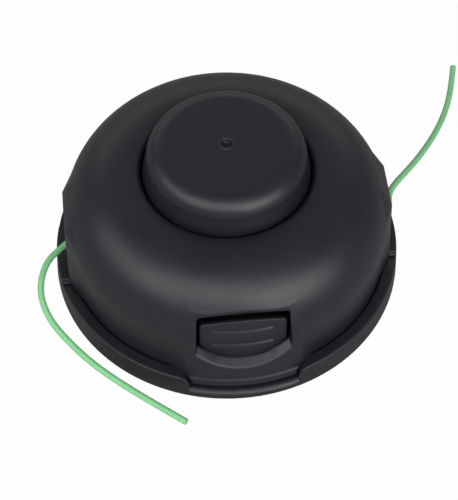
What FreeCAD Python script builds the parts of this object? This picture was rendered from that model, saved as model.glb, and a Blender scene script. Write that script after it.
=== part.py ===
"""Bump-feed line trimmer head, standing on its drive side with the bump knob up.

The head is Ø130 and 66 mm high. +Z points from the drive side to the knob, the two line
exits lie on -X and +X, and the two cover latches on -Y and +Y. All lengths are millimetres.
"""
import FreeCAD, Part
import math
import os

os.makedirs("parts", exist_ok=True)

# Clearances
run_gap = 0.3            # between pieces that move past each other
fit_gap = 0.05           # radial gap of a pivot, a bush or a pressed ring
seat_gap = 0.02          # between pieces that are clamped or moulded together

# Housing: the round tray on the drive side
base_r = 65.0
rim_top = 9.8
rim_draft = 0.5          # how much the rim's wall leans in at its top
rim_edge = 0.7           # rounding of the rim's outer edges
floor_top = 5.4
floor_t = 3.0
collar_r = 22.0          # recess for the thrust plate of the trimmer's gearbox
rib_ring_in = collar_r + 5.0       # the underside is cored out between these radii, with ribs across
rib_ring_out = base_r - 9.0
rib_count = 12
rib_t = 2.0
sleeve_r = 11.0          # centre post that the spool turns on
sleeve_top = 36.0
sleeve_hole_r = 5.6
notch_half_top = 23.2    # half-width of the gap in the rim in front of each latch
notch_half_low = 16.8
notch_floor = 3.8
notch_round = 2.9
dip_from, dip_to = 11.0, 19.0      # degrees either side of a line exit
dip_depth = 1.7

# Drive insert: a steel hexagon moulded into the housing, M10 x 1.25 left-hand inside
insert_flats = 14.0
insert_len = 16.0
thread_hole_r = 4.33

# Cover: the dome over the spool
wall = 2.4
cover_r = base_r - 4.9
cover_r_low = cover_r - 0.4
shoulder_r = 25.5
knob_hole_r = 31.0
lip_round = 2.0
cover_inner_r = cover_r_low - wall
rim_inner_r = cover_r_low + 0.6

# Knob, as it stands above the bearing and the cover
knob_rise = 13.0         # crown above the cover's top
knob_over_bearing = 9.5
knob_r_low = knob_hole_r - 0.6
knob_r_top = knob_r_low - 1.4
knob_edge_r = 7.6
knob_skirt = 8.0         # how far its wall reaches below the cover's top
knob_wall = 2.6
knob_crown_t = 4.0
knob_rib_count = 6
knob_rib_t = 1.6
gate_r = 2.2             # the moulding gate's dimple in the knob's crown
gate_deep = 1.3
gate_rim_r = gate_r + 0.6
gate_rim_h = 0.25

# Lobes of the cover over the latches
lobe_r_low = base_r - 1.7
lobe_r_foot = lobe_r_low - 1.1     # face radius just above the lip
lobe_r_knee = cover_r + 1.3
lobe_low_z = 5.9
lobe_lip_z = 8.8
lobe_half_low = 21.6
lobe_half_top = 18.6
lobe_corner_r = 4.0
lobe_steps = 5           # sections of the curve over a lobe's shoulder

# Ears of the cover over the line exits
ear_x = base_r - 4.9
ear_half_low = 14.6
ear_half_top = 9.3
ear_top_z = 34.5
ear_roof_run = 3.0       # the roof's fall over its first five millimetres
ear_blend = 27.5         # degrees from the exit to where a flank has run into the dome
ear_room_half = 10.4
ear_room_top = 30.5

# Latches: a press pad on a sprung arm, one at the front and one at the rear
pad_half = 15.4
pad_top_z = 38.3
pad_side_z = 24.1
pad_low_z = 17.9
pad_arch = 3.0           # how much the pad's top edge falls from its middle to its corners
pad_r = base_r - 6.7     # radius of the pad's face at its lower edge
pad_lean = 1.1
pad_lip_t = 1.4          # thickness of the pad's upper lip
pad_lip_h = 4.5
groove_half = 10.8
groove_t = 2.2
groove_deep = 0.6
groove_z = (32.5, 25.0)
window_gap = 1.1         # shadow gap beside the pad
window_head = 3.2        # and above it
window_arch = 2.2
window_draft = 0.3       # how much the window widens for each millimetre outside the pad's face
scoop_slope = 0.57       # how steeply the thumb scoop falls from the pad to the outer face
arm_half = 11.0
arm_t = 2.0
arm_y = base_r - 11.2
pad_back_y = arm_y - 1.2
foot_r = 1.5
foot_z = 7.6
latch_block_half = 11.9
latch_block_y = (arm_y - 2.2, arm_y + 2.2)
latch_swing = 10.0       # degrees that the pad is pressed in to free the cover
sill_y = arm_y + 1.5     # inner face of the sill that the pad locks over
sill_low_z = 11.0

# Cutting line and its exits
line_d = 2.4
exit_z = 16.5
exit_offset = 1.25       # the line leaves at a slant, so its eyelet stands off the middle
line_heading = 40.0      # degrees between the lead and the X axis
mouth_run = 3.5          # the lead bends over the eyelet's inner mouth this far before its end
eyelet_out = ear_x + 0.3
eyelet_bore_r = 3.4
eyelet_flare = 1.8
eyelet_barrel_r = eyelet_bore_r + 1.2
eyelet_lip_r = eyelet_bore_r + 2.1
eyelet_flange_r = eyelet_lip_r + 0.7
eyelet_flange_t = 0.6
post_t = 2.4
post_half = 7.6
post_top = exit_z + 5.5

# Bump feed
press_travel = 5.0
tooth_count = 12
tooth_h = 3.8
tooth_deg = 12.0
stop_t = 2.8             # radial width of the upper teeth
drive_t = 5.0            # radial width of the lower teeth

# Spool
flange_r = cover_inner_r - 11.3
divider_r = flange_r - 6.0
hub_r = 19.0
channel_h = 8.0
flange_t = 2.0
divider_t = 1.6
spring_room_r = hub_r - 4.4
web_t = 6.0
spool_neck_r = 15.0
spool_cap_t = 3.5
post_shoulder_r = 6.0

# Feed spring
spring_wire = 1.5
spring_mean_r = spring_room_r - 2.0
spring_turns = 5.5
spring_steps = 14        # sections of the wire for each turn
spring_sides = 8
washer_t = 1.0

# Ball bearing of the knob (8 x 22 x 7)
bearing_stand = 4.4      # above the spool's cap
bearing_w = 7.0
bearing_bore_r = 4.0
bearing_r = 11.0
inner_ring_r = 6.2
outer_ring_r = 9.1
ball_count = 7
ball_r = 1.98
ball_pitch_r = (inner_ring_r + outer_ring_r) / 2
race_gap = 0.1
cage_t = 0.9
cage_half_h = 2.6
shield_t = 0.3
screw_r = 2.5
screw_head_r = 4.6
screw_head_h = 3.0
screw_len = 12.0
lock_washer_t = 1.0

# Heights and radii that follow
foot_plane = 0.0
insert_low_z = floor_top - floor_t
low_teeth_z = floor_top + press_travel + run_gap + 0.1
low_flange_z = low_teeth_z + tooth_h
low_channel_z = low_flange_z + flange_t
divider_z = low_channel_z + channel_h
top_channel_z = divider_z + divider_t
top_flange_z = top_channel_z + channel_h
spool_plate_top = top_flange_z + flange_t
stop_root_z = spool_plate_top + 1.2 + tooth_h + run_gap
stop_tip_z = stop_root_z - tooth_h
low_teeth_r = (flange_r - 1.0 - drive_t, flange_r - 1.0)
top_teeth_r = (knob_hole_r + run_gap, knob_hole_r + run_gap + stop_t)
spool_web_z = sleeve_top - 3.0 - web_t
spool_cap_z = sleeve_top + press_travel + 0.6
spool_cap_top = spool_cap_z + spool_cap_t
bearing_z = spool_cap_top + bearing_stand
bearing_mid_z = bearing_z + bearing_w / 2
bearing_top = bearing_z + bearing_w
knob_top = bearing_top + knob_over_bearing
cover_top = knob_top - knob_rise
knob_low_z = cover_top - knob_skirt
shoulder_z = cover_top - shoulder_r
ear_low_z = rim_top + 0.25
ear_room_z = ear_low_z + wall
lobe_knee_z = shoulder_z - 3.5
lobe_top_z = shoulder_z + 13.9

# Routes of the two free tails, chosen by hand, from inside the eyelet to the cut end
tail_left_route = [
    (-54.2, 4.23, 16.5), (-63.2, -3.32, 16.5), (-68.7, -9.9, 16.8), (-71.5, -20.2, 14.2),
    (-68.6, -30.4, 10.8), (-61.6, -39.2, 7.0), (-53.0, -47.8, 3.6), (-42.4, -56.6, 1.7),
    (-31.8, -65.2, 1.2), (-22.0, -73.1, 1.2)]
tail_right_route = [
    (54.2, -4.23, 16.5), (62.35, 2.61, 16.5), (63.5, 10.4, 16.2), (67.8, 16.4, 15.2),
    (73.0, 22.7, 13.2), (80.1, 32.2, 9.9), (88.6, 45.3, 5.7), (96.5, 60.2, 2.1),
    (101.6, 73.6, 1.2), (104.8, 85.8, 1.2)]

# Where the lead leaves the winding
lead_dir = (math.cos(math.radians(line_heading)), math.sin(math.radians(line_heading)))
lead_reach_r = tail_right_route[0][0] * lead_dir[1] - tail_right_route[0][1] * lead_dir[0]
winding_r = lead_reach_r - line_d / 2 - run_gap

UP = FreeCAD.Vector(0, 0, 1)
ORIGIN = FreeCAD.Vector(0, 0, 0)


def vec(x, y, z):
    return FreeCAD.Vector(x, y, z)


def outline(steps, place):
    """Closed face. A step is a point, or a pair of points: an arc through the first to the second."""
    edges = []
    last = place(*steps[0])
    for step in steps[1:] + [steps[0]]:
        if isinstance(step[0], tuple):
            middle = place(*step[0])
            end = place(*step[1])
            edges.append(Part.Arc(last, middle, end).toShape())
        else:
            end = place(*step)
            if last.distanceToPoint(end) > 1e-6:
                edges.append(Part.makeLine(last, end))
        last = end
    return Part.Face(Part.Wire(edges))


def side_plane(r, z):
    return vec(r, 0, z)


def turned(steps, angle=360.0, start=0.0):
    """Solid of revolution about Z from an outline in radius and height."""
    solid = outline(steps, side_plane).revolve(ORIGIN, UP, angle)
    if start:
        solid.rotate(ORIGIN, UP, start)
    return solid


def ring(r_in, r_out, z_low, z_high, angle=360.0, start=0.0):
    return turned([(r_in, z_low), (r_out, z_low), (r_out, z_high), (r_in, z_high)], angle, start)


def disc(r, z_low, z_high):
    return Part.makeCylinder(r, z_high - z_low, vec(0, 0, z_low))


def block(x, y, z):
    """Box from its low and high value along each axis."""
    return Part.makeBox(x[1] - x[0], y[1] - y[0], z[1] - z[0], vec(x[0], y[0], z[0]))


def turn(shape, degrees):
    """A copy of a shape, turned about the head's axis."""
    copy = shape.copy()
    copy.rotate(ORIGIN, UP, degrees)
    return copy


def both_ways(shape):
    """A shape and its copy on the opposite side of the head."""
    return [shape, turn(shape, 180)]


def fused(shape, others):
    return shape.fuse(others).removeSplitter()


def arc_point(centre, radius, degrees):
    a = math.radians(degrees)
    return (centre[0] + radius * math.cos(a), centre[1] + radius * math.sin(a))


def crown_teeth(radii, z_low, z_high, phase):
    """A ring of feed teeth, each centred on a multiple of the tooth pitch plus the phase."""
    pitch = 360.0 / tooth_count
    start = phase - tooth_deg / 2
    return [ring(radii[0], radii[1], z_low, z_high, tooth_deg, start + i * pitch)
            for i in range(tooth_count)]


def pad_outline(half, top, arch, side, low, depth):
    """Latch outline in a plane across Y: arched top, straight sides and a bowed lower edge."""
    corner = min(1.6, half / 8)
    shoulder = top - arch
    steps = [(-half, side), ((0.0, low), (half, side)),
             (half, shoulder - corner),
             ((half - 0.25 * corner, shoulder - 0.2 * corner), (half - corner, shoulder + 0.2 * corner)),
             ((0.0, top), (corner - half, shoulder + 0.2 * corner)),
             ((0.25 * corner - half, shoulder - 0.2 * corner), (-half, shoulder - corner))]
    return outline(steps, lambda x, z: vec(x, -depth, z))


def housing_base():
    """Tray with its rim, ribbed underside, centre sleeve, feed lugs and seats."""
    top_r = base_r - rim_draft
    rim = turned([
        (0, foot_plane + insert_low_z), (collar_r, foot_plane + insert_low_z), (collar_r, foot_plane),
        (rib_ring_in, foot_plane), (rib_ring_in, insert_low_z), (rib_ring_out, insert_low_z),
        (rib_ring_out, foot_plane), (base_r - rim_edge, foot_plane),
        (arc_point((base_r - rim_edge, rim_edge), rim_edge, -45), (base_r, rim_edge)),
        (top_r, rim_top - rim_edge),
        (arc_point((top_r - rim_edge, rim_top - rim_edge), rim_edge, 45), (top_r - rim_edge, rim_top)),
        (rim_inner_r, rim_top), (rim_inner_r, floor_top), (0, floor_top)])
    ribs = []
    for i in range(rib_count):
        rib = block((rib_ring_in - 1, rib_ring_out + 1), (-rib_t / 2, rib_t / 2),
                    (foot_plane, insert_low_z + 0.5))
        ribs.append(turn(rib, (i + 0.5) * 360.0 / rib_count))
    sleeve = disc(sleeve_r, insert_low_z, sleeve_top)
    lugs = crown_teeth(low_teeth_r, floor_top - 0.5, low_flange_z - press_travel - run_gap,
                       180.0 / tooth_count)
    body = fused(rim, ribs + [sleeve] + lugs + line_posts() + latch_blocks())
    cuts = [hexagon(insert_flats, insert_low_z, insert_low_z + insert_len),
            disc(sleeve_hole_r, insert_low_z, sleeve_top + 1)]
    cuts += both_ways(rim_notch())
    cuts += both_ways(exit_dips())
    for cut in cuts:
        body = body.cut(cut)
    return body


def hexagon(flats, z_low, z_high):
    corner_r = flats / math.sqrt(3)
    corners = [vec(*arc_point((0, 0), corner_r, 60 * i), z_low) for i in range(7)]
    return Part.Face(Part.makePolygon(corners)).extrude(vec(0, 0, z_high - z_low))


def notch_prism(gap):
    """Outline of the gap in the rim with its S-shaped ends, narrowed by a gap at each end."""
    high, low = rim_top, foot_plane + notch_floor - notch_round
    half_top, half_low = notch_half_top - gap, notch_half_low - gap
    middle = ((half_top + half_low) / 2, (high + low) / 2)
    across, down = middle[0] - half_top, high - middle[1]
    bend_r = (across ** 2 + down ** 2) / (2 * down)
    upper = arc_point((half_top, high - bend_r), bend_r, 135)
    lower = (2 * middle[0] - upper[0], 2 * middle[1] - upper[1])
    steps = [(-half_top, high + 2), (-half_top, high),
             ((-upper[0], upper[1]), (-middle[0], middle[1])),
             ((-lower[0], lower[1]), (-half_low, low)),
             (half_low, low),
             (lower, middle), (upper, (half_top, high)), (half_top, high + 2)]
    return outline(steps, lambda x, z: vec(x, -base_r - 5, z)).extrude(vec(0, base_r - 40, 0))


def rim_notch():
    """Gap in the rim before a latch: S-shaped ends and a floor with a rounded outer edge."""
    edge = (base_r + 0.3, notch_floor - notch_round)
    shape = turned([
        (rim_inner_r - 0.1, notch_floor), (edge[0] - notch_round, notch_floor),
        (arc_point((edge[0] - notch_round, edge[1]), notch_round, 45), edge),
        (base_r + 4, edge[1]), (base_r + 4, rim_top + 3), (rim_inner_r - 0.1, rim_top + 3)])
    return notch_prism(0).common(shape)


def exit_dips():
    """Two shallow ramps in the rim beside a line exit, which guide the line clear of it."""
    dips = []
    for side in (-1, 1):
        near = base_r * math.sin(math.radians(dip_from))
        far = base_r * math.sin(math.radians(dip_to))
        steps = [(side * near, rim_top + 1), (side * near, rim_top),
                 (side * (near + 0.8), rim_top - dip_depth), (side * far, rim_top),
                 (side * far, rim_top + 1)]
        face = outline(steps, lambda y, z: vec(rim_inner_r - 4, y, z))
        dips.append(face.extrude(vec(base_r, 0, 0)))
    return dips[0].fuse(dips[1])


def line_posts():
    """Upright walls in the tray that hold the two eyelets."""
    x_high = cover_inner_r + run_gap + seat_gap
    x_low = x_high - post_t
    post = block((x_low, x_high), (-exit_offset - post_half, -exit_offset + post_half),
                 (floor_top - 0.5, post_top))
    hole = Part.makeCylinder(eyelet_barrel_r + fit_gap, 20, vec(x_low - 5, -exit_offset, exit_z), vec(1, 0, 0))
    cover_wall = ring(cover_inner_r - run_gap, base_r, floor_top, ear_room_z + run_gap)
    return both_ways(post.cut(hole).cut(cover_wall))


def latch_blocks():
    """Blocks with a snap groove for the round foot of each latch."""
    front = block((-latch_block_half, latch_block_half), (-latch_block_y[1], -latch_block_y[0]),
                  (floor_top - 0.5, low_flange_z - press_travel - run_gap))
    groove = Part.makeCylinder(foot_r + fit_gap, 60, vec(-30, -arm_y, foot_z), vec(1, 0, 0))
    slot = block((-30, 30), (-arm_y - 1.0, -arm_y + 1.3), (foot_z, foot_z + 10))
    return both_ways(front.cut(groove).cut(slot))


def drive_insert():
    body = hexagon(insert_flats, insert_low_z, insert_low_z + insert_len)
    return body.cut(disc(thread_hole_r, insert_low_z - 1, insert_low_z + insert_len + 1))


def eyelet():
    """Turned ferrule for the right exit: a flange inside, a rolled lip outside and flared mouths."""
    flare = eyelet_flare
    eyelet_in = cover_inner_r + run_gap - post_t - eyelet_flange_t
    inner_mouth = eyelet_in + flare
    outer_mouth = eyelet_out - flare
    steps = [
        (eyelet_bore_r, inner_mouth),
        (arc_point((eyelet_bore_r + flare, inner_mouth), flare, 225), (eyelet_bore_r + flare, eyelet_in)),
        (eyelet_flange_r, eyelet_in), (eyelet_flange_r, eyelet_in + eyelet_flange_t),
        (eyelet_barrel_r, eyelet_in + eyelet_flange_t), (eyelet_barrel_r, ear_x + seat_gap),
        (eyelet_lip_r, ear_x + seat_gap), (eyelet_lip_r, eyelet_out),
        (eyelet_bore_r + flare, eyelet_out),
        (arc_point((eyelet_bore_r + flare, outer_mouth), flare, 135), (eyelet_bore_r, outer_mouth))]
    solid = outline(steps, side_plane).revolve(ORIGIN, UP, 360)
    solid.rotate(ORIGIN, vec(0, 1, 0), 90)
    solid.translate(vec(0, -exit_offset, exit_z))
    return solid


def dome(offset, low_z, hole_r):
    """Solid dome, moved in by the offset, with the knob's hole where a radius is given."""
    centre = (cover_r - shoulder_r, shoulder_z)
    radius = shoulder_r - offset
    top = cover_top - offset
    steps = [(hole_r, low_z), (cover_r_low - offset, low_z), (cover_r - offset, shoulder_z),
             (arc_point(centre, radius, 45), (centre[0], top)), (hole_r, top)]
    return turned(steps)


def lobe_section(z, r, half):
    """A lobe's outline at one height: its face, two rounded corners and two flanks at 45 degrees."""
    root2 = math.sqrt(2)
    reach = half + math.sqrt(r ** 2 - half ** 2)
    centre_r = r - lobe_corner_r
    a = math.degrees(math.asin((reach - lobe_corner_r * root2) / (root2 * centre_r))) - 45.0
    centre = arc_point((0, 0), centre_r, a - 90)
    face_end = arc_point((0, 0), r, a - 90)
    corner = arc_point(centre, lobe_corner_r, (a - 135) / 2)
    flank = arc_point(centre, lobe_corner_r, -45)
    inner = (flank[0] - 45.0 - flank[1], -45.0)
    steps = [(-face_end[0], face_end[1]), ((0.0, -r), face_end), (corner, flank), inner,
             (-inner[0], inner[1]), (-flank[0], flank[1]),
             ((-corner[0], corner[1]), (-face_end[0], face_end[1]))]
    return outline(steps, lambda x, y: vec(x, y, z)).OuterWire


def lobe():
    """Raised front of the cover over a latch, with a lip along its lower edge."""
    lip_r = lobe_r_low - (lobe_lip_z - lobe_low_z) * 0.2
    profile = [(lobe_low_z, lobe_r_low - 0.6), (lobe_low_z + 0.6, lobe_r_low), (lobe_lip_z, lip_r),
               (lobe_lip_z + 0.35, lobe_r_foot), (lobe_knee_z, lobe_r_knee)]
    lean = math.radians(3.1)
    bend = math.radians(27.6)
    curve_r = (lobe_top_z - lobe_knee_z) / (math.sin(lean + bend) - math.sin(lean))
    for i in range(1, lobe_steps + 1):
        a = lean + bend * i / lobe_steps
        profile.append((lobe_knee_z + curve_r * (math.sin(a) - math.sin(lean)),
                        lobe_r_knee - curve_r * (math.cos(lean) - math.cos(a))))
    profile.append((lobe_top_z + 1.2, profile[-1][1] - 2.0))
    taper = (lobe_half_low - lobe_half_top) / (lobe_top_z - lobe_low_z)
    sections = [lobe_section(z, r, lobe_half_low - taper * (z - lobe_low_z)) for z, r in profile]
    return Part.makeLoft(sections, True, True)


def dome_r(z):
    """Outer radius of the dome at one height."""
    if z < shoulder_z:
        return cover_r_low + (cover_r - cover_r_low) * (z - floor_top) / (shoulder_z - floor_top)
    return cover_r - shoulder_r + math.sqrt(shoulder_r ** 2 - (z - shoulder_z) ** 2)


def ear():
    """Bulge of the cover over a line exit: a flat face whose flanks and roof run into the dome."""
    roof_end = ear_top_z + 9.5
    faces = [(z, ear_x) for z in (ear_low_z, shoulder_z, (shoulder_z + ear_top_z) / 2, ear_top_z)]
    faces += [(ear_top_z + 5.0, ear_x - ear_roof_run), (roof_end, dome_r(roof_end) - 0.6)]
    taper = (ear_half_low - ear_half_top) / (ear_top_z - ear_low_z)
    sections = []
    for z, x in faces:
        half = ear_half_low - taper * (z - ear_low_z)
        blend_x, blend_y = arc_point((0, 0), dome_r(z) - 0.15, ear_blend)
        steps = [(x, -half), (x, half), (blend_x, blend_y), (35, blend_y), (35, -blend_y), (blend_x, -blend_y)]
        sections.append(outline(steps, lambda px, py: vec(px, py, z)).OuterWire)
    return Part.makeLoft(sections, True, True)


def ear_room():
    """Hollow inside an ear, a wall thick all round, and the slot that drops over the eyelet."""
    low = floor_top - 1
    inner_x = ear_x - wall
    half = ear_room_half
    profile = [(40, low), (inner_x, low), (inner_x, ear_room_top - 4.5),
               (inner_x - 6, ear_room_top), (40, ear_room_top)]
    room = outline(profile, lambda x, z: vec(x, -half, z)).extrude(vec(0, 2 * half, 0))
    keep_in = ring(0, cover_r + 5, ear_room_z, 60).fuse(disc(cover_inner_r, low, 60))
    slot_half = eyelet_barrel_r + run_gap
    slot_x = (inner_x - 2, ear_x + 2)
    slot = block(slot_x, (-exit_offset - slot_half, -exit_offset + slot_half), (low, exit_z))
    arch = Part.makeCylinder(slot_half, slot_x[1] - slot_x[0], vec(slot_x[0], -exit_offset, exit_z), vec(1, 0, 0))
    return room.common(keep_in).fuse([slot, arch])


def window():
    """Opening for a latch pad, wider at the cover's outer face, with the thumb scoop below it."""
    low = pad_low_z - run_gap - fit_gap
    side = pad_side_z - run_gap
    half = pad_half + window_gap
    top = pad_top_z + window_head
    corner_y = math.sqrt(pad_r ** 2 - pad_half ** 2)
    hole = pad_outline(half, top, window_arch, side, low, pad_r).extrude(vec(0, pad_r - pad_back_y + 3, 0))
    flare, scoop = [], []
    for depth in (corner_y, base_r):
        spread = window_draft * (depth - corner_y)
        flare.append(pad_outline(half + spread, top + spread, window_arch, side, low, depth).OuterWire)
        scoop_low = low - scoop_slope * (depth - pad_r)
        scoop_side = side - scoop_slope * (depth - corner_y)
        scoop.append(pad_outline(half + spread, pad_top_z - 6, 1.0, scoop_side, scoop_low, depth).OuterWire)
    return hole.fuse([Part.makeLoft(flare, True, True), Part.makeLoft(scoop, True, True)])


def cover():
    """Moulded dome with its knob hole, two latch lobes, two exit ears and the stop teeth."""
    body = dome(0, floor_top + seat_gap, 0)
    body = fused(body, both_ways(lobe()) + both_ways(ear()))
    hollow = dome(wall, floor_top - 1, 0)
    body = body.cut(hollow)
    sill = block((-pad_half - 3, pad_half + 3), (-cover_inner_r - 0.5, -sill_y), (sill_low_z, pad_side_z + 1))
    sill = sill.common(disc(cover_inner_r + 0.5, sill_low_z, pad_side_z + 1))
    stop_ring = ring(knob_hole_r, top_teeth_r[1], stop_root_z, cover_top - wall / 2)
    teeth = crown_teeth(top_teeth_r, stop_tip_z, stop_root_z + 0.5, 180.0 / tooth_count)
    body = fused(body, both_ways(sill) + [stop_ring] + teeth)
    lip = turned([
        (0, stop_root_z - 1), (knob_hole_r, stop_root_z - 1), (knob_hole_r, cover_top - lip_round),
        (arc_point((knob_hole_r + lip_round, cover_top - lip_round), lip_round, 135),
         (knob_hole_r + lip_round, cover_top)),
        (knob_hole_r + lip_round, cover_top + 1), (0, cover_top + 1)])
    rim_room = ring(rim_inner_r - seat_gap, base_r + 1, foot_plane, rim_top + run_gap / 2)
    for prism in both_ways(notch_prism(3 * run_gap)):
        rim_room = rim_room.cut(prism)
    for cut in [lip, rim_room] + both_ways(window()) + both_ways(ear_room()):
        body = body.cut(cut)
    return body


def latch():
    """Front latch: a grooved pad with a curved face, on an arm with a round foot."""
    low, high = pad_low_z - 3, pad_top_z + 1
    back = vec(0, base_r - pad_back_y, 0)
    face = turned([(30, low), (pad_r + 0.15, low), (pad_r - pad_lean, high), (30, high)])
    behind_lip = turned([(30, low), (pad_r + 0.15 - pad_lip_t, low), (pad_r - pad_lean - pad_lip_t, high), (30, high)])
    plate = pad_outline(pad_half, pad_top_z, pad_arch, pad_side_z, pad_low_z, base_r).extrude(back)
    core = pad_outline(pad_half, pad_top_z - pad_lip_h, pad_arch, pad_side_z, pad_low_z, base_r).extrude(back)
    pad = plate.common(face).cut(behind_lip.cut(core))
    for z in groove_z:
        middle_r = pad_r - pad_lean * (z - pad_low_z) / (pad_top_z - pad_low_z)
        half, t = groove_half, groove_t / 2
        steps = [(-half + t, z - t), (half - t, z - t), ((half, z), (half - t, z + t)),
                 (-half + t, z + t), ((-half, z), (-half + t, z - t))]
        slot = outline(steps, lambda x, zz: vec(x, -base_r, zz)).extrude(vec(0, 20, 0))
        band = turned([(middle_r - groove_deep, z - t + 1.0), (middle_r + 0.2, z - t - 0.1),
                       (base_r, z - t - 0.1), (base_r, z + t), (middle_r - groove_deep, z + t)])
        pad = pad.cut(slot.common(band))
    arm_back = arm_y - arm_t / 2
    arm = block((-arm_half, arm_half), (-arm_y - arm_t / 2, -arm_back), (foot_z + 2.6, pad_side_z))
    neck = block((-arm_half, arm_half), (-arm_y - 0.7, -arm_y + 0.7), (foot_z, foot_z + 2.8))
    foot = Part.makeCylinder(foot_r, 2 * arm_half, vec(-arm_half, -arm_y, foot_z), vec(1, 0, 0))
    return fused(pad, [arm, neck, foot])


def spool():
    """Two-channel spool with feed teeth under it and above it, and the knob's post on top."""
    body = turned([
        (spring_room_r, low_flange_z), (flange_r, low_flange_z), (flange_r, low_channel_z),
        (hub_r, low_channel_z), (hub_r, divider_z), (divider_r, divider_z), (divider_r, top_channel_z),
        (hub_r, top_channel_z), (hub_r, top_flange_z), (flange_r, top_flange_z),
        (flange_r, spool_plate_top), (spool_neck_r, spool_plate_top), (spool_neck_r, spool_cap_top),
        (post_shoulder_r, spool_cap_top), (post_shoulder_r, bearing_z - seat_gap),
        (bearing_bore_r - fit_gap, bearing_z - seat_gap), (bearing_bore_r - fit_gap, bearing_top - 0.3),
        (screw_r + seat_gap, bearing_top - 0.3), (screw_r + seat_gap, bearing_top - screw_len),
        (0, bearing_top - screw_len), (0, spool_cap_z), (sleeve_r + 0.6, spool_cap_z),
        (sleeve_r + 0.6, spool_web_z + web_t), (sleeve_r + fit_gap, spool_web_z + web_t),
        (sleeve_r + fit_gap, spool_web_z), (spring_room_r, spool_web_z)])
    crown = ring(top_teeth_r[0], top_teeth_r[1], spool_plate_top - 0.5, spool_plate_top + 1.2)
    top_teeth = crown_teeth(top_teeth_r, spool_plate_top + 0.5, spool_plate_top + 1.2 + tooth_h, 0)
    low_teeth = crown_teeth(low_teeth_r, low_teeth_z, low_flange_z + 0.5, 0)
    return fused(body, [crown] + top_teeth + low_teeth)


def line_winding(channel_z):
    """The line wound in one channel, with its outer turns as ridges."""
    turns = int(channel_h / line_d)
    low = channel_z + (channel_h - turns * line_d) / 2
    steps = [(hub_r + seat_gap, low), (winding_r - line_d / 2, low)]
    for i in range(turns):
        middle = low + (i + 0.5) * line_d
        steps.append(((winding_r, middle), (winding_r - line_d / 2, middle + line_d / 2)))
    steps.append((hub_r + seat_gap, low + turns * line_d))
    return turned(steps)


def feed_spring():
    """Round-wire compression spring round the sleeve, under the thrust washer."""
    low = floor_top + spring_wire / 2 + seat_gap
    high = spool_web_z - washer_t - 2 * seat_gap - spring_wire / 2
    pitch = (high - low) / spring_turns
    sections = []
    for i in range(int(spring_turns * spring_steps) + 1):
        angle = 360.0 * i / spring_steps
        corners = []
        for k in range(spring_sides + 1):
            r, z = arc_point((spring_mean_r, low + pitch * angle / 360), spring_wire / 2, 360.0 * k / spring_sides)
            corners.append(vec(*arc_point((0, 0), r, angle), z))
        sections.append(Part.makePolygon(corners))
    return Part.makeLoft(sections, True, True)


def thrust_washer():
    high = spool_web_z - seat_gap
    return ring(sleeve_r + run_gap, spring_room_r - run_gap, high - washer_t, high)


def bump_knob():
    """Domed wear cap with a bearing cup inside, ribs and a moulding gate's dimple on its crown."""
    side_top = knob_top - knob_edge_r
    shell = turned([
        (0, knob_top), (knob_r_top - knob_edge_r, knob_top),
        (arc_point((knob_r_top - knob_edge_r, side_top), knob_edge_r, 45), (knob_r_top, side_top)),
        (knob_r_low, cover_top - 1.7), (knob_r_low, knob_low_z), (knob_r_low - knob_wall, knob_low_z),
        (knob_r_top - knob_wall, side_top),
        (arc_point((knob_r_top - knob_edge_r, side_top), knob_edge_r - knob_wall, 45),
         (knob_r_top - knob_edge_r, knob_top - knob_wall)),
        (knob_r_top - knob_edge_r - 1.5, knob_top - knob_crown_t), (0, knob_top - knob_crown_t)])
    cup = ring(bearing_r + fit_gap, bearing_r + 3.0, bearing_z - 1.2, knob_top - knob_crown_t + 0.5)
    step = ring(bearing_r - 1.4, bearing_r + 1.0, bearing_top + seat_gap, knob_top - knob_crown_t + 0.5)
    snap = ring(bearing_r - 0.4, bearing_r + 1.0, bearing_z - 1.2, bearing_z - seat_gap)
    gate = ring(0, gate_rim_r, knob_top - 0.5, knob_top + gate_rim_h)
    ribs = []
    for i in range(knob_rib_count):
        rib = block((bearing_r + 2, knob_r_top - knob_wall + 0.5), (-knob_rib_t / 2, knob_rib_t / 2),
                    (bearing_z + 1.5, knob_top - knob_crown_t + 0.2))
        ribs.append(turn(rib.common(disc(knob_r_top - 1.0, 40, side_top)), i * 360.0 / knob_rib_count))
    body = fused(shell, [cup, step, snap, gate] + ribs)
    dimple = Part.makeCone(gate_r - 0.7, gate_r, gate_deep + gate_rim_h + 0.1, vec(0, 0, knob_top - gate_deep))
    return body.cut(dimple)


def race_groove():
    torus = Part.makeTorus(ball_pitch_r, ball_r + race_gap, vec(0, 0, bearing_mid_z))
    return torus


def bearing_inner_ring():
    body = ring(bearing_bore_r, inner_ring_r, bearing_z, bearing_top)
    return body.cut(race_groove())


def bearing_outer_ring():
    body = ring(outer_ring_r, bearing_r, bearing_z, bearing_top)
    return body.cut(race_groove())


def bearing_balls():
    balls = []
    for i in range(ball_count):
        x, y = arc_point((0, 0), ball_pitch_r, i * 360.0 / ball_count)
        balls.append(Part.makeSphere(ball_r, vec(x, y, bearing_mid_z)))
    return Part.makeCompound(balls)


def bearing_cage():
    body = ring(ball_pitch_r - cage_t / 2, ball_pitch_r + cage_t / 2,
                bearing_mid_z - cage_half_h, bearing_mid_z + cage_half_h)
    for i in range(ball_count):
        pocket = Part.makeCylinder(ball_r + race_gap, 2.0, vec(ball_pitch_r - 1.0, 0, bearing_mid_z), vec(1, 0, 0))
        body = body.cut(turn(pocket, i * 360.0 / ball_count))
    return body


def bearing_shields():
    shields = []
    for low in (bearing_z + 0.1, bearing_top - 0.1 - shield_t):
        shields.append(ring(inner_ring_r + 0.15, outer_ring_r - seat_gap, low, low + shield_t))
    return Part.makeCompound(shields)


def lock_washer():
    return ring(screw_r + 0.2, post_shoulder_r - 0.2, bearing_top + seat_gap, bearing_top + seat_gap + lock_washer_t)


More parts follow.
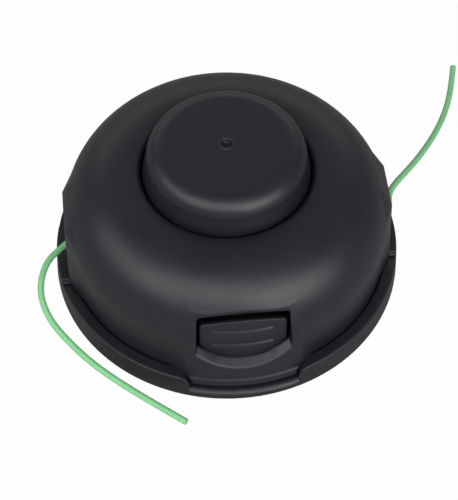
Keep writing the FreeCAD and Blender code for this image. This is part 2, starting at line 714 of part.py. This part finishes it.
def knob_screw():
    """Pan-head screw that holds the bearing's inner ring on the spool's post."""
    head_low = bearing_top + lock_washer_t + 2 * seat_gap
    body = turned([
        (0, head_low - screw_len), (screw_r - 0.4, head_low - screw_len), (screw_r, head_low - screw_len + 0.6),
        (screw_r, head_low), (screw_head_r, head_low), (screw_head_r, head_low + screw_head_h - 1.0),
        (arc_point((screw_head_r - 1.0, head_low + screw_head_h - 1.0), 1.0, 45),
         (screw_head_r - 1.0, head_low + screw_head_h)), (0, head_low + screw_head_h)])
    socket = hexagon(4.0, head_low + screw_head_h - 1.8, head_low + screw_head_h + 1)
    return body.cut(socket)


def rounded_path(points, name):
    """Straight runs joined by tangent arcs, each as large as its two runs allow."""
    points = [vec(*p) for p in points]
    edges = []
    last = points[0]
    for before, corner, after in zip(points, points[1:], points[2:]):
        run_in, run_out = corner - before, after - corner
        reach = 0.45 * min(run_in.Length, run_out.Length)
        half_turn = run_in.getAngle(run_out) / 2
        radius = reach / math.tan(half_turn)
        start = corner - run_in.normalize() * reach
        end = corner + run_out.normalize() * reach
        inward = (start + end) / 2 - corner
        bulge = radius / math.cos(half_turn) - radius
        middle = corner + inward.normalize() * bulge
        edges.append(Part.makeLine(last, start))
        edges.append(Part.Arc(start, middle, end).toShape())
        last = end
        print(name, "radius", round(radius, 1), "turn", round(math.degrees(2 * half_turn), 1))
    edges.append(Part.makeLine(last, points[-1]))
    return Part.Wire(edges)


def line_tube(points, name):
    path = rounded_path(points, name)
    start = path.Edges[0]
    direction = start.tangentAt(start.FirstParameter)
    circle = Part.Wire(Part.makeCircle(line_d / 2, vec(*points[0]), direction))
    tube = path.makePipeShell([circle], True, True)
    wanted = math.pi * (line_d / 2) ** 2 * path.Length
    print(name, "length", round(path.Length, 1), "volume ratio", round(tube.Volume / wanted, 4))
    return tube


def lead_route(channel_z, clear_r, side):
    """From the winding, over the flange or divider below the line, and down into the eyelet."""
    top_z = channel_z + run_gap + line_d / 2
    end_x, end_y = tail_right_route[0][:2]
    along = end_x * lead_dir[0] + end_y * lead_dir[1]
    clear = math.sqrt((clear_r + line_d) ** 2 - lead_reach_r ** 2)
    foot = (lead_reach_r * lead_dir[1], -lead_reach_r * lead_dir[0])
    points = []
    for distance, z in ((0.0, top_z), (clear, top_z), (along - mouth_run, exit_z), (along, exit_z)):
        points.append((side * (foot[0] + distance * lead_dir[0]), side * (foot[1] + distance * lead_dir[1]), z))
    return points


def main():
    eyelet_right = eyelet()
    latch_front = latch()
    nodes = {
        "housing_base": housing_base(),
        "drive_insert": drive_insert(),
        "eyelet_right": eyelet_right,
        "eyelet_left": turn(eyelet_right, 180),
        "cover": cover(),
        "latch_front": latch_front,
        "latch_rear": turn(latch_front, 180),
        "spool": spool(),
        "line_winding_lower": line_winding(low_channel_z),
        "line_winding_upper": line_winding(top_channel_z),
        "line_lead_left": line_tube(lead_route(low_channel_z, flange_r, -1), "line_lead_left"),
        "line_lead_right": line_tube(lead_route(top_channel_z, divider_r, 1), "line_lead_right"),
        "line_tail_left": line_tube(tail_left_route, "line_tail_left"),
        "line_tail_right": line_tube(tail_right_route, "line_tail_right"),
        "feed_spring": feed_spring(),
        "thrust_washer": thrust_washer(),
        "bump_knob": bump_knob(),
        "bearing_inner_ring": bearing_inner_ring(),
        "bearing_outer_ring": bearing_outer_ring(),
        "bearing_balls": bearing_balls(),
        "bearing_cage": bearing_cage(),
        "bearing_shields": bearing_shields(),
        "lock_washer": lock_washer(),
        "knob_screw": knob_screw(),
    }
    for name, shape in nodes.items():
        print(name, "valid", shape.isValid(), "solids", len(shape.Solids), "volume", round(shape.Volume, 1))
        shape.exportStep("parts/%s.step" % name)


main()
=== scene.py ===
# %% [markdown]
# The trimmer head as a studio picture
# A bump-feed line trimmer head is a black nylon drum with a round knob on top, two press latches and two
# green cutting lines. The CAD part already has every solid in its place, so this lesson lays the two lines,
# winds the feed spring, gives every surface its finish and lights the head. Everything is in metres, in the
# part's own frame.

import math

import bmesh
import bpy
from mathutils import Matrix, Vector


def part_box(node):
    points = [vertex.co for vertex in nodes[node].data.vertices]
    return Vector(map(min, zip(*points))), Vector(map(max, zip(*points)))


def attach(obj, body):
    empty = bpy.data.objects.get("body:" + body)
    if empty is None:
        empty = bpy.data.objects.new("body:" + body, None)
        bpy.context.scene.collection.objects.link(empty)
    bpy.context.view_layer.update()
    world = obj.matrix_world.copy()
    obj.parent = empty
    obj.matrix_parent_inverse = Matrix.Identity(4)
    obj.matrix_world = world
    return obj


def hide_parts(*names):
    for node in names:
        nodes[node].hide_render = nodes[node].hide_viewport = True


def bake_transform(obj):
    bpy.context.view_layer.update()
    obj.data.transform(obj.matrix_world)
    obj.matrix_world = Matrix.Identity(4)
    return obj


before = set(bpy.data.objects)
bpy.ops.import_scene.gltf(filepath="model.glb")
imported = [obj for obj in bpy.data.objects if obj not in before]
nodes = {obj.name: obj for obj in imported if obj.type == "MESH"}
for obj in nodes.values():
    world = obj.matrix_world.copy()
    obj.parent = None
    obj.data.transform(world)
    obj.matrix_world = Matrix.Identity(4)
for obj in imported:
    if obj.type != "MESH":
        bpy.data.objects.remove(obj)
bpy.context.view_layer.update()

# %% [markdown]
# Camera
# The photograph looks down at the head from the front, about 52 degrees above the table and six degrees
# round to the left. A long lens keeps the round drum nearly free of perspective. The head stands above the
# middle of the picture. Turning the camera down to put it there would change its perspective, so the camera
# looks straight at the head and a small lens shift lowers the frame.

# %% Place the camera
view_azimuth = math.radians(-6.0)
view_elevation = math.radians(52.23)
view_distance = 0.600
view_centre = Vector((0.0, 0.0, 0.030))
focal_length = 116.64
frame_right = 0.0048
frame_down = 0.0881

back = Vector((math.sin(view_azimuth) * math.cos(view_elevation),
               -math.cos(view_azimuth) * math.cos(view_elevation),
               math.sin(view_elevation)))

camera_data = bpy.data.cameras.new("studio_camera")
camera_data.lens = focal_length
camera_data.shift_x = frame_right
camera_data.shift_y = -frame_down
camera = bpy.data.objects.new("studio_camera", camera_data)
bpy.context.scene.collection.objects.link(camera)
camera.location = view_centre + back * view_distance
camera.rotation_mode = "QUATERNION"
camera.rotation_quaternion = (-back).to_track_quat("-Z", "Y")
bpy.context.scene.camera = camera
print("camera at", [round(v, 4) for v in camera.location])

# %% [markdown]
# Cutting lines
# The two free tails are 2.4 mm nylon line. Each comes out of its eyelet at a slant, bends round the drum
# and falls to the table, and ends in a square cut. A curve is right for it: one smooth NURBS spline led by a
# few given points, the same points as the part's route, with a round bevel. The points carry the
# line's radius themselves and the bevel is one, so that the curve's box is no larger than the line.

# %% Lay the two line tails
line_diameter = 0.0024
route_steps = 16         # short pieces between two points of the route
round_steps = 8          # how finely the bevel is rounded

tail_routes = {
    "line_left": [
        (-0.0542, 0.00423, 0.0165), (-0.0632, -0.00332, 0.0165), (-0.0687, -0.0099, 0.0168),
        (-0.0715, -0.0202, 0.0142), (-0.0686, -0.0304, 0.0108), (-0.0616, -0.0392, 0.0070),
        (-0.0530, -0.0478, 0.0036), (-0.0424, -0.0566, 0.0017), (-0.0318, -0.0652, 0.0012),
        (-0.0220, -0.0731, 0.0012)],
    "line_right": [
        (0.0542, -0.00423, 0.0165), (0.06235, 0.00261, 0.0165), (0.0635, 0.0104, 0.0162),
        (0.0678, 0.0164, 0.0152), (0.0730, 0.0227, 0.0132), (0.0801, 0.0322, 0.0099),
        (0.0886, 0.0453, 0.0057), (0.0965, 0.0602, 0.0021), (0.1016, 0.0736, 0.0012),
        (0.1048, 0.0858, 0.0012)],
}


def line_tail(name, route):
    curve = bpy.data.curves.new(name, "CURVE")
    curve.dimensions = "3D"
    curve.resolution_u = route_steps
    curve.bevel_depth = 1.0
    curve.bevel_resolution = round_steps
    curve.use_fill_caps = True
    spline = curve.splines.new("NURBS")
    spline.points.add(len(route) - 1)
    for point, place in zip(spline.points, route):
        point.co = (*place, 1.0)
        point.radius = line_diameter / 2
    spline.order_u = 3
    spline.use_endpoint_u = True
    tail = bpy.data.objects.new(name, curve)
    bpy.context.scene.collection.objects.link(tail)
    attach(tail, "root")
    return tail


line_left = line_tail("line_left", tail_routes["line_left"])
line_right = line_tail("line_right", tail_routes["line_right"])
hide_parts("line_tail_left")
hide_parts("line_tail_right")
print("line tails:", line_left.name, line_right.name)

# %% [markdown]
# Feed spring
# The spring between the tray and the thrust washer is round wire, and it shortens when the knob is pressed.
# One ring of points is spun about the head's axis while it climbs, which sweeps a true coil.

# %% Wind the feed spring
coil_wire = 0.0015
coil_turns = 5.5
coil_sections = 24       # rings of points in each turn
coil_sides = 10


def feed_coil(name):
    low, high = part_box("feed_spring")
    radius = high.x - coil_wire / 2
    rings = int(coil_turns * coil_sections)
    climb = (high.z - low.z - coil_wire) / rings
    upright = Matrix.Rotation(math.pi / 2, 3, "X")
    wire = bmesh.new()
    bmesh.ops.create_circle(wire, cap_ends=False, segments=coil_sides, radius=coil_wire / 2)
    bmesh.ops.rotate(wire, verts=wire.verts[:], cent=(0, 0, 0), matrix=upright)
    bmesh.ops.translate(wire, verts=wire.verts[:], vec=(radius, 0, low.z + coil_wire / 2))
    bmesh.ops.spin(wire, geom=wire.verts[:] + wire.edges[:], cent=(0, 0, 0), axis=(0, 0, 1),
                   dvec=(0, 0, climb), angle=math.tau * coil_turns, steps=rings)
    bmesh.ops.holes_fill(wire, edges=[edge for edge in wire.edges if edge.is_boundary], sides=0)
    bmesh.ops.recalc_face_normals(wire, faces=wire.faces[:])
    mesh = bpy.data.meshes.new(name)
    wire.to_mesh(mesh)
    wire.free()
    coil = bpy.data.objects.new(name, mesh)
    bpy.context.scene.collection.objects.link(coil)
    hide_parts("feed_spring")
    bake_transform(coil)
    return coil


spring_coil = feed_coil("feed_coil")
print("coil faces:", len(spring_coil.data.polygons))

# %% [markdown]
# Smooth shading for the moulded solids
# The part's solids arrive as loose flat triangles, which would show as facets on a satin surface. Their
# meshes stay as they are. A small geometry node tree joins the triangles and shades them smooth wherever two
# faces meet at less than a set angle, and a weighted normal modifier keeps the large flat faces flat. The
# coil gets both modifiers too.

# %% Build the shading tree and put it on every solid
smooth_angle = math.radians(28.0)
weld_distance = 0.000001


def shading_tree():
    tree = bpy.data.node_groups.new("smooth_by_angle", "GeometryNodeTree")
    tree.interface.new_socket("Geometry", in_out="INPUT", socket_type="NodeSocketGeometry")
    tree.interface.new_socket("Geometry", in_out="OUTPUT", socket_type="NodeSocketGeometry")
    source = tree.nodes.new("NodeGroupInput")
    result = tree.nodes.new("NodeGroupOutput")
    weld = tree.nodes.new("GeometryNodeMergeByDistance")
    weld.inputs["Distance"].default_value = weld_distance
    faces = tree.nodes.new("GeometryNodeSetShadeSmooth")
    edges = tree.nodes.new("GeometryNodeSetShadeSmooth")
    edges.domain = "EDGE"
    fold = tree.nodes.new("GeometryNodeInputMeshEdgeAngle")
    gentle = tree.nodes.new("FunctionNodeCompare")
    gentle.operation = "LESS_THAN"
    gentle.inputs["B"].default_value = smooth_angle
    tree.links.new(source.outputs["Geometry"], weld.inputs["Geometry"])
    tree.links.new(weld.outputs["Geometry"], faces.inputs["Geometry"])
    tree.links.new(faces.outputs["Geometry"], edges.inputs["Geometry"])
    tree.links.new(fold.outputs["Unsigned Angle"], gentle.inputs["A"])
    tree.links.new(gentle.outputs["Result"], edges.inputs["Shade Smooth"])
    tree.links.new(edges.outputs["Geometry"], result.inputs["Geometry"])
    return tree


smooth_tree = shading_tree()


def shade_solid(solid):
    smooth = solid.modifiers.new("smooth_by_angle", "NODES")
    smooth.node_group = smooth_tree
    weighted = solid.modifiers.new("flat_faces", "WEIGHTED_NORMAL")
    weighted.keep_sharp = True


shaded = [*nodes.values(), spring_coil]
for solid in shaded:
    shade_solid(solid)
print("solids shaded:", len(shaded))

# %% [markdown]
# Node helpers
# The finishes below are built from the same few steps: a tone that varies between a dark and a light one, a
# roughness that varies with it, and a bump. Each step is a short function, so a finish reads as what the
# material is and not as a list of sockets.

# %% Helpers for node trees
def add_node(tree, kind, **values):
    node = tree.nodes.new(kind)
    for name, value in values.items():
        setattr(node, name, value)
    return node


def link(tree, source, target):
    tree.links.new(source, target)


def new_group(name, inputs, outputs):
    group = bpy.data.node_groups.new(name, "ShaderNodeTree")
    for label, kind, value in inputs:
        socket = group.interface.new_socket(label, in_out="INPUT", socket_type=kind)
        if value is not None:
            socket.default_value = value
    for label, kind in outputs:
        group.interface.new_socket(label, in_out="OUTPUT", socket_type=kind)
    source = group.nodes.new("NodeGroupInput")
    result = group.nodes.new("NodeGroupOutput")
    return group, source, result


def new_material(name):
    material = bpy.data.materials.new(name)
    material.use_nodes = True
    tree = material.node_tree
    return material, tree, tree.nodes["Principled BSDF"]


def tone_between(tree, factor, dark, light):
    """Mixes a dark and a light tone by a factor."""
    tone = add_node(tree, "ShaderNodeMix", data_type="RGBA")
    tone.inputs["A"].default_value = (*dark, 1.0)
    tone.inputs["B"].default_value = (*light, 1.0)
    link(tree, factor, tone.inputs["Factor"])
    return tone.outputs["Result"]


def roughness_between(tree, factor, factor_range, rough_range):
    """Spreads a factor's range over a range of roughness."""
    rough = add_node(tree, "ShaderNodeMapRange")
    rough.inputs["From Min"].default_value = factor_range[0]
    rough.inputs["From Max"].default_value = factor_range[1]
    rough.inputs["To Min"].default_value = rough_range[0]
    rough.inputs["To Max"].default_value = rough_range[1]
    link(tree, factor, rough.inputs["Value"])
    return rough.outputs["Result"]


def bump_of(tree, height, strength, depth):
    """Gives a bump node with its height linked."""
    bump = add_node(tree, "ShaderNodeBump")
    bump.inputs["Strength"].default_value = strength
    bump.inputs["Distance"].default_value = depth
    link(tree, height, bump.inputs["Height"])
    return bump


# Noise values lie mostly in this part of their range from 0 to 1.
noise_middle = (0.3, 0.7)
noise_whole = (0.0, 1.0)

# %% [markdown]
# Spark grain
# This is the fine pebbled surface that an eroded mould leaves on nylon: small noise for the bumps, and a
# slower one that makes some places a little duller. All the nylons share it, so it is a node group.

# %% Spark grain
grain_detail = 2.0
grain_roughness = 0.6
patch_scale = 55.0       # dull patches in each metre
patch_detail = 4.0
patch_roughness = 0.65


def spark_grain_group():
    group, source, result = new_group(
        "spark_grain",
        [("Vector", "NodeSocketVector", None), ("Grains per metre", "NodeSocketFloat", 2200.0)],
        [("Height", "NodeSocketFloat"), ("Dullness", "NodeSocketFloat")])
    fine = add_node(group, "ShaderNodeTexNoise")
    fine.inputs["Detail"].default_value = grain_detail
    fine.inputs["Roughness"].default_value = grain_roughness
    slow = add_node(group, "ShaderNodeTexNoise")
    slow.inputs["Scale"].default_value = patch_scale
    slow.inputs["Detail"].default_value = patch_detail
    slow.inputs["Roughness"].default_value = patch_roughness
    link(group, source.outputs["Vector"], fine.inputs["Vector"])
    link(group, source.outputs["Grains per metre"], fine.inputs["Scale"])
    link(group, source.outputs["Vector"], slow.inputs["Vector"])
    link(group, fine.outputs["Fac"], result.inputs["Height"])
    link(group, slow.outputs["Fac"], result.inputs["Dullness"])
    return group


spark_grain = spark_grain_group()
print("shared effect:", spark_grain.name)

# %% [markdown]
# Soft edge
# A real moulding has no knife edges. This effect rounds the normal at corners, and gives a mask of those
# corners: the more the rounded normal leans away from the face's own, the nearer the point is to a corner.

# %% Soft edge
rounding_samples = 8
face_cosine = 1.0        # both normals agree
corner_cosine = 0.8      # the rounded normal leans by 37 degrees


def soft_edge_group():
    group, source, result = new_group(
        "soft_edge",
        [("Radius", "NodeSocketFloat", 0.0004)],
        [("Normal", "NodeSocketVector"), ("Edge", "NodeSocketFloat")])
    rounding = add_node(group, "ShaderNodeBevel", samples=rounding_samples)
    own_face = add_node(group, "ShaderNodeNewGeometry")
    compare = add_node(group, "ShaderNodeVectorMath", operation="DOT_PRODUCT")
    spread = add_node(group, "ShaderNodeMapRange")
    spread.inputs["From Min"].default_value = face_cosine
    spread.inputs["From Max"].default_value = corner_cosine
    link(group, source.outputs["Radius"], rounding.inputs["Radius"])
    link(group, rounding.outputs["Normal"], compare.inputs[0])
    link(group, own_face.outputs["Normal"], compare.inputs[1])
    link(group, compare.outputs["Value"], spread.inputs["Value"])
    link(group, rounding.outputs["Normal"], result.inputs["Normal"])
    link(group, spread.outputs["Result"], result.inputs["Edge"])
    return group


soft_edge = soft_edge_group()
print("shared effect:", soft_edge.name)

# %% [markdown]
# Moulded nylon
# The cover, tray, knob, latches and spool are all glass-filled nylon. It is nearly black, slightly cool, and
# satin: the grain spreads the light into a broad glow on every rounded shoulder, and the corners are painted
# a little lighter than the faces, a painted highlight along every edge. One function makes each of the
# nylons, with its own tone and grain, so that the knob and the latches differ a little from the cover.

# %% Nylon finishes
nylon_index = 1.5
nylon_bump = 0.35
highlight_gain = 2.2        # how much lighter the painted highlight on a corner is than the light tone
highlight_share = 0.5       # how much of that painted highlight a full corner takes
less_dull = 0.03
more_dull = 0.04


def nylon(name, dark, light, dull, grains, depth, edge_radius):
    material, tree, surface = new_material(name)
    surface.inputs["IOR"].default_value = nylon_index
    place = add_node(tree, "ShaderNodeTexCoord")
    grain = add_node(tree, "ShaderNodeGroup", node_tree=spark_grain)
    grain.inputs["Grains per metre"].default_value = grains
    edge = add_node(tree, "ShaderNodeGroup", node_tree=soft_edge)
    edge.inputs["Radius"].default_value = edge_radius
    # Painted highlight: the soft edge mask mixes the base colour towards a lighter tone at every corner.
    corner_highlight = add_node(tree, "ShaderNodeMath", operation="MULTIPLY")
    corner_highlight.inputs[1].default_value = highlight_share
    painted_corner_highlight = add_node(tree, "ShaderNodeMix", data_type="RGBA")
    painted_corner_highlight.inputs["B"].default_value = (*[highlight_gain * share for share in light], 1.0)
    patches = grain.outputs["Dullness"]
    tone = tone_between(tree, patches, dark, light)
    rough = roughness_between(tree, patches, noise_middle, (dull - less_dull, dull + more_dull))
    bump = bump_of(tree, grain.outputs["Height"], nylon_bump, depth)
    link(tree, place.outputs["Object"], grain.inputs["Vector"])
    link(tree, edge.outputs["Edge"], corner_highlight.inputs[0])
    link(tree, tone, painted_corner_highlight.inputs["A"])
    link(tree, corner_highlight.outputs["Value"], painted_corner_highlight.inputs["Factor"])
    link(tree, painted_corner_highlight.outputs["Result"], surface.inputs["Base Color"])
    link(tree, rough, surface.inputs["Roughness"])
    link(tree, edge.outputs["Normal"], bump.inputs["Normal"])
    link(tree, bump.outputs["Normal"], surface.inputs["Normal"])
    return material


cover_nylon = nylon("cover_nylon", (0.0105, 0.0088, 0.0140), (0.0150, 0.0128, 0.0200),
                    dull=0.38, grains=1900.0, depth=0.00014, edge_radius=0.0015)
tray_nylon = nylon("tray_nylon", (0.0092, 0.0078, 0.0118), (0.0132, 0.0112, 0.0168),
                   dull=0.40, grains=1900.0, depth=0.00014, edge_radius=0.0008)
knob_nylon = nylon("knob_nylon", (0.0108, 0.0094, 0.0145), (0.0158, 0.0138, 0.0208),
                   dull=0.36, grains=1900.0, depth=0.00014, edge_radius=0.0006)
latch_nylon = nylon("latch_nylon", (0.0096, 0.0084, 0.0132), (0.0140, 0.0124, 0.0190),
                    dull=0.36, grains=2400.0, depth=0.00006, edge_radius=0.0009)
spool_nylon = nylon("spool_nylon", (0.030, 0.031, 0.034), (0.045, 0.046, 0.050),
                    dull=0.42, grains=1500.0, depth=0.00003, edge_radius=0.0003)
print("nylon for the cover, tray, knob, latches and spool")

# %% [markdown]
# Green line
# Trimmer line is clear nylon dyed bright green. Light goes a little way into it, so a plain coat of paint
# would look too hard: some subsurface scattering softens it, and a faint noise varies the dye.

# %% Line finish
dye_dark = (0.215, 0.600, 0.262)
dye_light = (0.290, 0.700, 0.335)
dye_scale = 90.0
dye_detail = 2.0
scatter_share = 0.35
scatter_colours = (0.4, 1.0, 0.5)
scatter_depth = 0.0012
line_rough_range = (0.42, 0.52)
line_bump = 0.05
line_bump_depth = 0.00002


def line_nylon(name):
    material, tree, surface = new_material(name)
    surface.inputs["Subsurface Weight"].default_value = scatter_share
    surface.inputs["Subsurface Radius"].default_value = scatter_colours
    surface.inputs["Subsurface Scale"].default_value = scatter_depth
    place = add_node(tree, "ShaderNodeTexCoord")
    dye = add_node(tree, "ShaderNodeTexNoise")
    dye.inputs["Scale"].default_value = dye_scale
    dye.inputs["Detail"].default_value = dye_detail
    amount = dye.outputs["Fac"]
    bump = bump_of(tree, amount, line_bump, line_bump_depth)
    link(tree, place.outputs["Object"], dye.inputs["Vector"])
    tone = tone_between(tree, amount, dye_dark, dye_light)
    rough = roughness_between(tree, amount, noise_whole, line_rough_range)
    link(tree, tone, surface.inputs["Base Color"])
    link(tree, rough, surface.inputs["Roughness"])
    link(tree, bump.outputs["Normal"], surface.inputs["Normal"])
    return material


green_line = line_nylon("green_line")
print("line finish:", green_line.name)

# %% [markdown]
# Metals
# The nut in the tray, the washers and the screw are zinc plated, the spring is oiled spring steel, the
# bearing is ground and the eyelets are a warmer metal. They differ in tone, in polish and in how fine their
# turning marks are, so one function makes them all from those values. The marks are noise squeezed along the
# head's axis, as turning leaves them.

# %% Metal finishes
mark_squeeze = (1.0, 1.0, 9.0)
mark_detail = 5.0
metal_edge = 0.00015
metal_bump = 0.15
metal_bump_depth = 0.00003


def metal(name, dark, light, rough_range, marks_scale):
    material, tree, surface = new_material(name)
    surface.inputs["Metallic"].default_value = 1.0
    place = add_node(tree, "ShaderNodeTexCoord")
    squeeze = add_node(tree, "ShaderNodeMapping")
    squeeze.inputs["Scale"].default_value = mark_squeeze
    marks = add_node(tree, "ShaderNodeTexNoise")
    marks.inputs["Scale"].default_value = marks_scale
    marks.inputs["Detail"].default_value = mark_detail
    edge = add_node(tree, "ShaderNodeGroup", node_tree=soft_edge)
    edge.inputs["Radius"].default_value = metal_edge
    amount = marks.outputs["Fac"]
    bump = bump_of(tree, amount, metal_bump, metal_bump_depth)
    link(tree, place.outputs["Object"], squeeze.inputs["Vector"])
    link(tree, squeeze.outputs["Vector"], marks.inputs["Vector"])
    tone = tone_between(tree, amount, dark, light)
    rough = roughness_between(tree, amount, noise_middle, rough_range)
    link(tree, tone, surface.inputs["Base Color"])
    link(tree, rough, surface.inputs["Roughness"])
    link(tree, edge.outputs["Normal"], bump.inputs["Normal"])
    link(tree, bump.outputs["Normal"], surface.inputs["Normal"])
    return material


zinc_steel = metal("zinc_steel", (0.42, 0.43, 0.44), (0.58, 0.59, 0.60),
                   rough_range=(0.26, 0.44), marks_scale=700.0)
spring_steel = metal("spring_steel", (0.20, 0.20, 0.21), (0.34, 0.34, 0.36),
                     rough_range=(0.24, 0.40), marks_scale=1200.0)
bearing_steel = metal("bearing_steel", (0.55, 0.55, 0.56), (0.68, 0.68, 0.69),
                      rough_range=(0.14, 0.26), marks_scale=900.0)
eyelet_metal = metal("eyelet_metal", (0.46, 0.45, 0.43), (0.64, 0.62, 0.59),
                     rough_range=(0.20, 0.34), marks_scale=1100.0)
print("metals:", zinc_steel.name, spring_steel.name, bearing_steel.name, eyelet_metal.name)

# %% [markdown]
# Dressing the solids
# Each solid keeps its CAD mesh and gets the finish of what it is made of. The two line tails and the coil are
# dressed like the solids that they stand for.

# %% Give every solid its finish
finishes = {
    "housing_base": tray_nylon, "cover": cover_nylon, "bump_knob": knob_nylon,
    "latch_front": latch_nylon, "latch_rear": latch_nylon, "spool": spool_nylon,
    "line_winding_lower": green_line, "line_winding_upper": green_line,
    "line_lead_left": green_line, "line_lead_right": green_line,
    "line_tail_left": green_line, "line_tail_right": green_line,
    "drive_insert": zinc_steel, "thrust_washer": zinc_steel, "lock_washer": zinc_steel,
    "knob_screw": zinc_steel, "feed_spring": spring_steel,
    "bearing_inner_ring": bearing_steel, "bearing_outer_ring": bearing_steel,
    "bearing_balls": bearing_steel, "bearing_cage": bearing_steel, "bearing_shields": bearing_steel,
    "eyelet_left": eyelet_metal, "eyelet_right": eyelet_metal,
}


def dress(piece, material):
    piece.data.materials.clear()
    piece.data.materials.append(material)


for name, material in finishes.items():
    dress(nodes[name], material)
dress(line_left, green_line)
dress(line_right, green_line)
dress(spring_coil, spring_steel)
print("finished solids:", len(finishes))

# %% [markdown]
# Table and surroundings
# The photograph has a plain white ground with hardly any shadow. The floor is light grey, so that it sends
# little light up to the black plastic. The camera sees nearly all of it as plain white, with a trace of the
# head's shadow, and reflections see a little of that white.

# %% Floor and world
floor_half = 3.0
floor_drop = 0.00005
floor_tone = 0.33
floor_roughness = 0.9
camera_white = 0.98
glossy_white = 0.05
world_light = 0.24
plain_white = (1.0, 1.0, 1.0, 1.0)


def white_ground(tree, surface, white, camera_share, glossy_share):
    """Mixes a white into what the camera sees of a surface, and less of it into reflections."""
    path = add_node(tree, "ShaderNodeLightPath")
    direct = add_node(tree, "ShaderNodeMath", operation="MULTIPLY")
    direct.inputs[1].default_value = camera_share
    weight = add_node(tree, "ShaderNodeMath", operation="MULTIPLY_ADD")
    weight.inputs[1].default_value = glossy_share
    mix = add_node(tree, "ShaderNodeMixShader")
    link(tree, path.outputs["Is Camera Ray"], direct.inputs[0])
    link(tree, path.outputs["Is Glossy Ray"], weight.inputs[0])
    link(tree, direct.outputs["Value"], weight.inputs[2])
    link(tree, weight.outputs["Value"], mix.inputs["Fac"])
    link(tree, surface, mix.inputs[1])
    link(tree, white, mix.inputs[2])
    return mix.outputs["Shader"]


floor_mesh = bpy.data.meshes.new("floor")
floor_bm = bmesh.new()
bmesh.ops.create_grid(floor_bm, x_segments=1, y_segments=1, size=floor_half)
bmesh.ops.translate(floor_bm, verts=floor_bm.verts, vec=(0.0, 0.0, -floor_drop))
floor_bm.to_mesh(floor_mesh)
floor_bm.free()
floor = bpy.data.objects.new("floor", floor_mesh)
bpy.context.scene.collection.objects.link(floor)

floor_material, floor_tree, floor_surface = new_material("pale_floor")
floor_surface.inputs["Base Color"].default_value = (floor_tone, floor_tone, floor_tone, 1.0)
floor_surface.inputs["Roughness"].default_value = floor_roughness
floor_white = add_node(floor_tree, "ShaderNodeEmission")
floor_shader = white_ground(floor_tree, floor_surface.outputs["BSDF"], floor_white.outputs["Emission"],
                            camera_white, glossy_white)
link(floor_tree, floor_shader, floor_tree.nodes["Material Output"].inputs["Surface"])
dress(floor, floor_material)

world = bpy.data.worlds.new("studio")
bpy.context.scene.world = world
world.use_nodes = True
world_tree = world.node_tree
world_fill = world_tree.nodes["Background"]
world_fill.inputs["Color"].default_value = plain_white
world_fill.inputs["Strength"].default_value = world_light
world_white = add_node(world_tree, "ShaderNodeBackground")
world_white.inputs["Color"].default_value = plain_white
world_path = add_node(world_tree, "ShaderNodeLightPath")
world_mix = add_node(world_tree, "ShaderNodeMixShader")
link(world_tree, world_path.outputs["Is Camera Ray"], world_mix.inputs["Fac"])
link(world_tree, world_fill.outputs["Background"], world_mix.inputs[1])
link(world_tree, world_white.outputs["Background"], world_mix.inputs[2])
link(world_tree, world_mix.outputs["Shader"], world_tree.nodes["World Output"].inputs["Surface"])
print("floor and world:", floor_material.name, world.name)

# %% [markdown]
# Lights
# The knob and the cover's shoulder carry one broad glow that reaches from the left side round to the front
# right, while the crown and the far side stay dark. That is a wide soft light in front, high enough to mirror
# in the shoulder, a dimmer one at the left, a low one at the right, and a faint one behind that draws the far
# edges. The world fills in the rest. Each panel is set by how bright it looks, so its power grows with its
# area. The Standard view then shows the tones as they are.

# %% Place the soft panels
panel_distance = 1.0


def soft_panel(name, azimuth, elevation, width, height, radiance):
    data = bpy.data.lights.new(name, "AREA")
    data.shape = "RECTANGLE"
    data.size = width
    data.size_y = height
    data.energy = radiance * math.pi * width * height
    panel = bpy.data.objects.new(name, data)
    bpy.context.scene.collection.objects.link(panel)
    side = math.radians(azimuth)
    rise = math.radians(elevation)
    outward = Vector((math.sin(side) * math.cos(rise), -math.cos(side) * math.cos(rise), math.sin(rise)))
    panel.location = view_centre + outward * panel_distance
    panel.rotation_mode = "QUATERNION"
    panel.rotation_quaternion = (-outward).to_track_quat("-Z", "Y")
    print(name, round(data.energy, 2), "W")


soft_panel("front_panel", azimuth=-13.0, elevation=40.0, width=1.6, height=0.68, radiance=2.3)
soft_panel("left_panel", azimuth=-78.0, elevation=30.0, width=0.9, height=0.50, radiance=1.6)
soft_panel("right_panel", azimuth=38.0, elevation=21.0, width=0.80, height=0.52, radiance=3.1)
soft_panel("back_panel", azimuth=178.0, elevation=24.0, width=1.8, height=0.40, radiance=0.6)
bpy.context.scene.view_settings.view_transform = "Standard"
